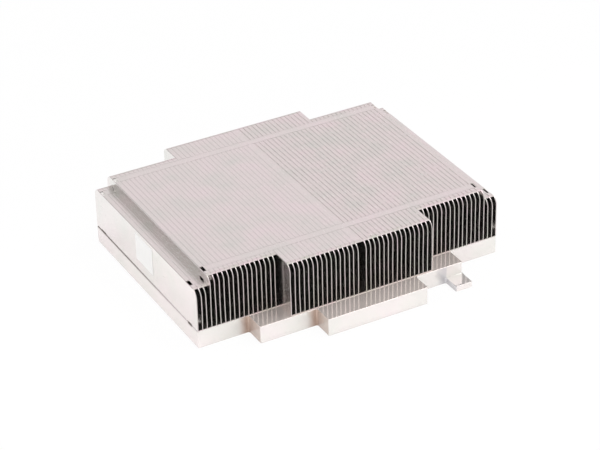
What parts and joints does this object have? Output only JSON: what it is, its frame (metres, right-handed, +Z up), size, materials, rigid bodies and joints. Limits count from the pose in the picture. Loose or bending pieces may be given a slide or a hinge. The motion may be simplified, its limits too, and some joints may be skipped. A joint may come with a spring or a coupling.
{
  "type": "passive server heatsink",
  "caption": "Low passive processor heatsink: stepped base plate with a lug and hook tab, carrying two mirrored stacks of folded zipper fins.",
  "frame": {"origin": "on the flat underside, below the middle of the fin pack, where the processor's lid meets it", "axes": "+X along the row of fins, +Y from the lug and tab side to the back, +Z up, from the base to the fin tops"},
  "size_m": [0.1211, 0.1068, 0.027],
  "materials": {
    "fin_sheet": "bare rolled sheet, satin",
    "base_plate": "machined and plated, bright satin",
    "label_paper": "bare white label stock"
  },
  "bodies": {
    "root": {"base_plate": "base_plate", "blank_label": "label_paper", "long_fin_pair_19": "fin_sheet", "long_fin_pair_20": "fin_sheet", "long_fin_pair_21": "fin_sheet", "long_fin_pair_22": "fin_sheet", "long_fin_pair_23": "fin_sheet", "long_fin_pair_24": "fin_sheet", "long_fin_pair_25": "fin_sheet", "long_fin_pair_26": "fin_sheet", "long_fin_pair_27": "fin_sheet", "long_fin_pair_28": "fin_sheet", "long_fin_pair_29": "fin_sheet", "long_fin_pair_30": "fin_sheet", "long_fin_pair_31": "fin_sheet", "long_fin_pair_32": "fin_sheet", "long_fin_pair_33": "fin_sheet", "long_fin_pair_34": "fin_sheet", "low_fin_pair_01": "fin_sheet", "low_fin_pair_02": "fin_sheet", "low_fin_pair_03": "fin_sheet", "short_fin_pair_04": "fin_sheet", "short_fin_pair_05": "fin_sheet", "short_fin_pair_06": "fin_sheet", "short_fin_pair_07": "fin_sheet", "short_fin_pair_08": "fin_sheet", "short_fin_pair_09": "fin_sheet", "short_fin_pair_10": "fin_sheet", "short_fin_pair_11": "fin_sheet", "short_fin_pair_12": "fin_sheet", "short_fin_pair_13": "fin_sheet", "short_fin_pair_14": "fin_sheet", "short_fin_pair_15": "fin_sheet", "short_fin_pair_16": "fin_sheet", "short_fin_pair_17": "fin_sheet", "short_fin_pair_18": "fin_sheet"}
  },
  "joints": []
}
